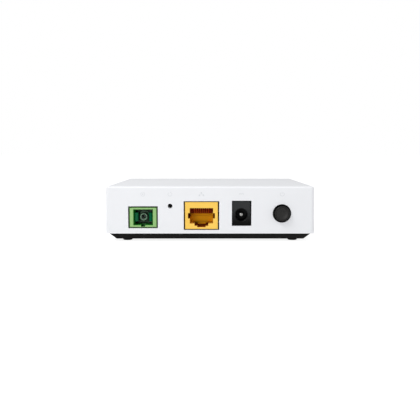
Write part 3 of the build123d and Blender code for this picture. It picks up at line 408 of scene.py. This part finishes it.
# ---------------------------------------------------------------- Optical transceiver
# Machined steel block behind the fibre port, with two gold-plated cans welded on and their leads bent up
# to the board.
transceiver_steel = metal("transceiver_steel", (0.50, 0.50, 0.50), 0.32, brushed=(1, 0.15, 1), depth=0.000002)
can_gold = metal("can_gold", (0.83, 0.62, 0.27), 0.2)
finish_node("transceiver_body", transceiver_steel)
for node in ("laser_can", "receiver_can", "transceiver_leads"):
    finish_node(node, can_gold)


# ---------------------------------------------------------------- Ethernet jack
# Amber-yellow nylon housing that hangs from the board, eight gold-flashed spring wires and the black
# carrier that spaces their pins. Light and shade inside the mouth are painted into the amber: it turns a
# saturated orange with depth as painted bounced light, and dark red on the roof, in the side notches and in
# the latch slot as painted shade.
ethernet_yellow = moulded(
    "ethernet_yellow", (0.90, 0.575, 0.11), 0.42, grain=0.0006, depth=0.000005, mottle=0.02, gloss=0.06
)
ethernet_low, ethernet_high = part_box("ethernet_housing")
ETHERNET_MIDDLE = (ethernet_low.x + ethernet_high.x) / 2
MOUTH_HALF = 0.00585
MOUTH_FLOOR = ethernet_low.z + 0.0027
MOUTH_ROOF = ethernet_low.z + 0.0064
LATCH_SLOT_END = PORT_FACE_Y + 0.0144
# Painted light and shade inside the mouth: a saturated orange for bounced light, dark reds for shade on the
# roof, in the side notches and in the latch slot.
PAINTED_BOUNCE_AMBER = (1.0, 0.47, 0.002)
ROOF_PAINTED_SHADE = (0.42, 0.040, 0.002)
NOTCH_PAINTED_SHADE = (0.20, 0.022, 0.002)
SLOT_PAINTED_SHADE = (0.22, 0.010, 0.001)
# Painted bounced light: the mouth turns saturated orange with depth, except that the first millimetre of its
# floor keeps the face colour.
above_floor = past(ethernet_yellow, "Z", MOUTH_FLOOR + 0.0001, MOUTH_FLOOR + 0.0009)
paint_mouth_light_and_shade(ethernet_yellow, PAINTED_BOUNCE_AMBER, reach=0.0012, region=above_floor)
paint_mouth_light_and_shade(ethernet_yellow, PAINTED_BOUNCE_AMBER, reach=0.0080, start=0.002)
# Painted shade: the roof, the side notches and the latch slot turn dark red.
roof = past(ethernet_yellow, "Z", MOUTH_ROOF, MOUTH_ROOF + 0.0004)
paint_mouth_light_and_shade(ethernet_yellow, ROOF_PAINTED_SHADE, reach=0.0010, region=roof)
for side in (-1, 1):
    edge = ETHERNET_MIDDLE + side * MOUTH_HALF
    notch = past(ethernet_yellow, "X", edge, edge + side * 0.0002)
    paint_mouth_light_and_shade(ethernet_yellow, NOTCH_PAINTED_SHADE, reach=0.0010, region=notch)
slot = overlap(
    ethernet_yellow,
    past(ethernet_yellow, "Z", MOUTH_FLOOR - 0.00005, MOUTH_FLOOR - 0.0002),
    past(ethernet_yellow, "Y", LATCH_SLOT_END + 0.0003, LATCH_SLOT_END),
)
paint_mouth_light_and_shade(ethernet_yellow, SLOT_PAINTED_SHADE, reach=0.0010, region=slot)
carrier_black = moulded("carrier_black", (0.03, 0.03, 0.03), 0.5)
contact_gold = metal("contact_gold", (0.90, 0.26, 0.08), 0.4, brushed=(1, 0.1, 1))
finish_node("ethernet_housing", ethernet_yellow)
finish_node("ethernet_contact_carrier", carrier_black)
finish_node("ethernet_pins", contact_gold)
finish_node("ethernet_contact_springs", contact_gold)


# ---------------------------------------------------------------- Power jack
# Satin black housing with painted shade that darkens it towards its foot, with a nickel-plated centre pin, a
# tinned spring leaf at the side of the bore and two solder tabs.
jack_black = moulded(
    "jack_black", (0.028, 0.030, 0.031), 0.45, grain=0.0005, depth=0.000004, mottle=0.12, gloss=0.1
)
JACK_BOTTOM_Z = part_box("power_jack_housing")[0].z
JACK_DARK_Z = JACK_BOTTOM_Z + 0.0015
JACK_LIGHT_Z = JACK_BOTTOM_Z + 0.0085
# Painted shade: the housing turns near-black towards its foot.
tint(jack_black, (0.0003, 0.0003, 0.0003), past(jack_black, "Z", JACK_LIGHT_Z, JACK_DARK_Z))
pin_nickel = metal("pin_nickel", (0.36, 0.36, 0.35), 0.26, brushed=(1, 0.1, 1))
tinned = metal("tinned", (0.66, 0.66, 0.65), 0.35, mottle=0.1)
finish_node("power_jack_housing", jack_black)
finish_node("power_jack_pin", pin_nickel)
finish_node("power_jack_leaf", tinned)
finish_node("power_jack_terminals", tinned)


# ---------------------------------------------------------------- Power button
# Black satin cap with a dished face, pushed onto the white plunger of a switch; its rim is painted near-black
# as shade.
# A fine coil spring brings it back.
def outside(material, axis_point, start, end):
    """0 within the start radius of an axis along Y, and 1 beyond the end radius."""
    reach = material.node_tree.nodes.new("ShaderNodeVectorMath")
    reach.operation = "DISTANCE"
    material.node_tree.links.new(coordinates_scaled(material, stretch=(1, 0, 1)), reach.inputs[0])
    reach.inputs[1].default_value = (axis_point.x, 0, axis_point.z)
    return spread(material, reach.outputs["Value"], 0, 1, start, end)


button_black = moulded(
    "button_black", (0.026, 0.0255, 0.025), 0.28, grain=0.0003, depth=0.000006, mottle=0.12, gloss=0.12
)
FACE_RADIUS, RIM_RADIUS = 0.0034, 0.0037
cap_low, cap_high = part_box("power_button_cap")
# Painted shade: the cap's rim beyond the face turns near-black.
cap_rim_painted_shade = outside(button_black, (cap_low + cap_high) / 2, FACE_RADIUS, RIM_RADIUS)
tint(button_black, (0.0008, 0.0008, 0.0008), cap_rim_painted_shade)
nylon_white = moulded("nylon_white", (0.62, 0.61, 0.58), 0.4, glow=0.1)
switch_black = moulded("switch_black", (0.035, 0.035, 0.036), 0.45, mottle=0.1)
spring_wire = metal("spring_wire", (0.48, 0.48, 0.48), 0.25)
finish_node("power_button_cap", button_black)
finish_node("power_switch_plunger", nylon_white)
finish_node("power_switch_body", switch_black)
finish_node("power_switch_pins", tinned)

SPRING_TURNS = 7
SPRING_WIRE = 0.00014
SPRING_SECTION_SIDES = 12
SPRING_SIDES_PER_TURN = 32
spring_low, spring_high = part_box("power_switch_spring")
spring_middle = (spring_low + spring_high) / 2
coil_radius = (spring_high.x - spring_low.x) / 2 - SPRING_WIRE
coil_length = spring_high.y - spring_low.y - 2 * SPRING_WIRE
start_piece()
bpy.ops.mesh.primitive_circle_add(
    vertices=SPRING_SECTION_SIDES,
    radius=SPRING_WIRE,
    location=(coil_radius, 0, 0),
    rotation=(math.pi / 2, 0, 0),
)
bpy.ops.object.transform_apply(location=True, rotation=True)
coil_spring = bpy.context.object
winding = coil_spring.modifiers.new("winding", "SCREW")
winding.iterations = SPRING_TURNS
winding.screw_offset = coil_length / SPRING_TURNS
winding.steps = SPRING_SIDES_PER_TURN
winding.render_steps = SPRING_SIDES_PER_TURN
bpy.ops.object.modifier_apply(modifier="winding")
bpy.ops.object.mode_set(mode="EDIT")
bpy.ops.mesh.select_mode(type="EDGE")
bpy.ops.mesh.select_all(action="DESELECT")
bpy.ops.mesh.select_non_manifold()
bpy.ops.mesh.fill_holes(sides=SPRING_SECTION_SIDES)
bpy.ops.mesh.select_all(action="SELECT")
bpy.ops.mesh.normals_make_consistent(inside=False)
bpy.ops.object.mode_set(mode="OBJECT")
bpy.ops.object.shade_smooth_by_angle(angle=math.radians(50))
coil_spring.name = "coil_spring"
coil_spring.data.name = "coil_spring"
coil_spring.data.transform(Matrix.Rotation(-math.pi / 2, 4, "X"))
coil_spring.data.transform(Matrix.Translation((spring_middle.x, spring_low.y + SPRING_WIRE, spring_middle.z)))
coil_spring.data.materials.append(spring_wire)
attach(coil_spring, "chassis")
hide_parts("power_switch_spring")
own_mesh(coil_spring)


# ---------------------------------------------------------------- Reset switch
# Small push switch behind the pin hole, held to the board by its folded tinned bracket.
finish_node("reset_switch_body", switch_black)
finish_node("reset_switch_plunger", moulded("reset_black", (0.004, 0.004, 0.004), 0.6, gloss=0.1))
finish_node("reset_switch_bracket", tinned)


# ---------------------------------------------------------------- Circuit board
# Glass-epoxy board under green solder mask, with tracks that show through it as paler lines.
def solder_mask():
    """Glazed green coat, with the copper tracks under it drawn as the mortar of a brick pattern."""
    material = bpy.data.materials.new("solder_mask")
    material.use_nodes = True
    nodes, links = material.node_tree.nodes, material.node_tree.links
    shader = nodes["Principled BSDF"]
    tracks = nodes.new("ShaderNodeTexBrick")
    tracks.offset = 0.37
    tracks.squash = 0.6
    tracks.squash_frequency = 3
    for socket, value in (
        ("Scale", 1.0),
        ("Mortar Size", 0.00012),
        ("Mortar Smooth", 0.2),
        ("Brick Width", 0.0065),
        ("Row Height", 0.00085),
    ):
        tracks.inputs[socket].default_value = value
    tracks.inputs["Color1"].default_value = (0.010, 0.095, 0.035, 1)
    tracks.inputs["Color2"].default_value = (0.014, 0.115, 0.042, 1)
    tracks.inputs["Mortar"].default_value = (0.035, 0.21, 0.070, 1)
    links.new(coordinates_scaled(material), tracks.inputs["Vector"])
    links.new(tracks.outputs["Color"], shader.inputs["Base Color"])
    links.new(spread(material, noise(material, 0.003), 0.22, 0.38), shader.inputs["Roughness"])
    raise_surface(material, tracks.outputs["Fac"], 0.00002)
    return material


finish_node("main_board", solder_mask())


# ---------------------------------------------------------------- Chips
# Black moulded packages, matt on top from the mould, soldered to the underside of the board.
chip_black = moulded("chip_black", (0.026, 0.026, 0.027), 0.6, grain=0.00025, depth=0.000006, mottle=0.12)
for node in ("main_chip", "memory_chip", "flash_chip", "voltage_regulators", "laser_driver", "surge_diode"):
    finish_node(node, chip_black)
finish_node("lan_transformer", moulded("transformer_black", (0.03, 0.03, 0.031), 0.5, mottle=0.1))


# ---------------------------------------------------------------- Heat sink and pad
# Extruded aluminium fins, clear anodised, stuck to the main chip with a grey-blue silicone pad.
sink_aluminium = metal("sink_aluminium", (0.56, 0.57, 0.58), 0.42, brushed=(1, 0.05, 1), depth=0.000004)
pad_silicone = moulded("pad_silicone", (0.20, 0.25, 0.34), 0.75, grain=0.0006, depth=0.00001, mottle=0.08)
finish_node("heat_sink", sink_aluminium)
finish_node("thermal_pad", pad_silicone)


# ---------------------------------------------------------------- Coils, capacitors and crystal
# Pressed ferrite coils, drawn aluminium capacitor cans and the crystal's tinned can.
finish_node("power_inductors", moulded("ferrite", (0.055, 0.055, 0.06), 0.7, depth=0.00001, mottle=0.2))
finish_node("electrolytic_capacitors", metal("capacitor_can", (0.66, 0.66, 0.68), 0.3, brushed=(1, 1, 0.1)))
finish_node("crystal", metal("crystal_can", (0.70, 0.68, 0.62), 0.25))


# ---------------------------------------------------------------- Small parts
# Fired ceramic capacitors, glazed resistors and a printed fuse, too small to carry more than their colour
# and a fine grain.
finish_node("chip_capacitors", moulded("capacitor_ceramic", (0.30, 0.19, 0.10), 0.5, mottle=0.15))
finish_node("chip_resistors", moulded("resistor_black", (0.03, 0.03, 0.035), 0.3, mottle=0.1))
finish_node("input_fuse", moulded("fuse_green", (0.05, 0.16, 0.08), 0.4, mottle=0.1))


# ---------------------------------------------------------------- Shield
# Tinned sheet frame soldered round the laser driver, with a pressed and pierced lid clipped over it.
shield_tin = metal("shield_tin", (0.64, 0.64, 0.62), 0.34, brushed=(0.1, 1, 1), mottle=0.08)
finish_node("shield_frame", shield_tin)
finish_node("shield_lid", shield_tin)


# ---------------------------------------------------------------- Status lights and light guide
# Four milky light packages and one clear acrylic moulding that carries their light to the front wall.
finish_node("status_leds", moulded("led_resin", (0.72, 0.72, 0.60), 0.35, glow=0.2))
guide_clear = moulded("guide_clear", (0.92, 0.95, 0.95), 0.12, depth=0.000001, mottle=0.01)
guide_clear.node_tree.nodes["Principled BSDF"].inputs["Transmission Weight"].default_value = 0.85
guide_clear.node_tree.nodes["Principled BSDF"].inputs["IOR"].default_value = 1.49
finish_node("light_guide", guide_clear)


# ---------------------------------------------------------------- Floor, light and camera
# A plain pale floor under an even white sky, with three soft boxes: one overhead to the left, one in front
# and a weaker one from the right.
FLOOR_SIZE = 12
start_piece()
bpy.ops.mesh.primitive_plane_add(size=FLOOR_SIZE, location=(0, 0, 0))
floor = bpy.context.object
floor.name = "floor"
floor_paint = bpy.data.materials.new("floor_paint")
floor_paint.use_nodes = True
paint = floor_paint.node_tree.nodes["Principled BSDF"]
paint.inputs["Base Color"].default_value = (0.42, 0.42, 0.42, 1)
paint.inputs["Roughness"].default_value = 0.9
paint.inputs["Specular IOR Level"].default_value = 0.1
paint.inputs["Emission Color"].default_value = (1, 1, 1, 1)
floor.data.materials.append(floor_paint)

world = bpy.data.worlds.new("studio")
world.use_nodes = True
sky = world.node_tree.nodes["Background"]
sky.inputs["Color"].default_value = (1, 1, 1, 1)


def glow_and_show(tree, strength, glow, show):
    """Gives a surface one strength as a light on the object, and another as a plain white backdrop."""
    seen = tree.nodes.new("ShaderNodeLightPath")
    level = tree.nodes.new("ShaderNodeMapRange")
    level.inputs["To Min"].default_value = glow
    level.inputs["To Max"].default_value = show
    tree.links.new(seen.outputs["Is Camera Ray"], level.inputs["Value"])
    tree.links.new(level.outputs["Result"], strength)


glow_and_show(floor_paint.node_tree, paint.inputs["Emission Strength"], glow=0.25, show=0.84)
glow_and_show(world.node_tree, sky.inputs["Strength"], glow=0.55, show=1.0)
bpy.context.scene.world = world


def soft_box(name, place, aim, size, power):
    """Square soft light that faces a point."""
    lamp = bpy.data.lights.new(name, "AREA")
    lamp.size = size
    lamp.energy = power
    holder = bpy.data.objects.new(name, lamp)
    bpy.context.scene.collection.objects.link(holder)
    holder.location = place
    holder.rotation_euler = (Vector(aim) - Vector(place)).to_track_quat("-Z", "Y").to_euler()


PORT_SIDE = (0, -0.02, 0.01)
soft_box("overhead_left", (-0.38, -0.24, 0.62), aim=(0, 0, 0), size=0.34, power=3.35)
soft_box("front_left", (-0.22, -1.00, 0.20), aim=PORT_SIDE, size=0.35, power=2.3)
soft_box("side_right", (0.80, -0.45, 0.25), aim=PORT_SIDE, size=0.5, power=1.6)

CAMERA_TILT = math.radians(5.68)
camera_data = bpy.data.cameras.new("camera")
camera_data.sensor_width = 36
camera_data.lens = 50.1
camera_data.clip_start = 0.01
camera = bpy.data.objects.new("camera", camera_data)
camera.location = (0.0, -0.3352, 0.0450)
camera.rotation_euler = (math.pi / 2 - CAMERA_TILT, 0, 0)
bpy.context.scene.collection.objects.link(camera)
bpy.context.scene.camera = camera
bpy.context.scene.view_settings.view_transform = "Standard"
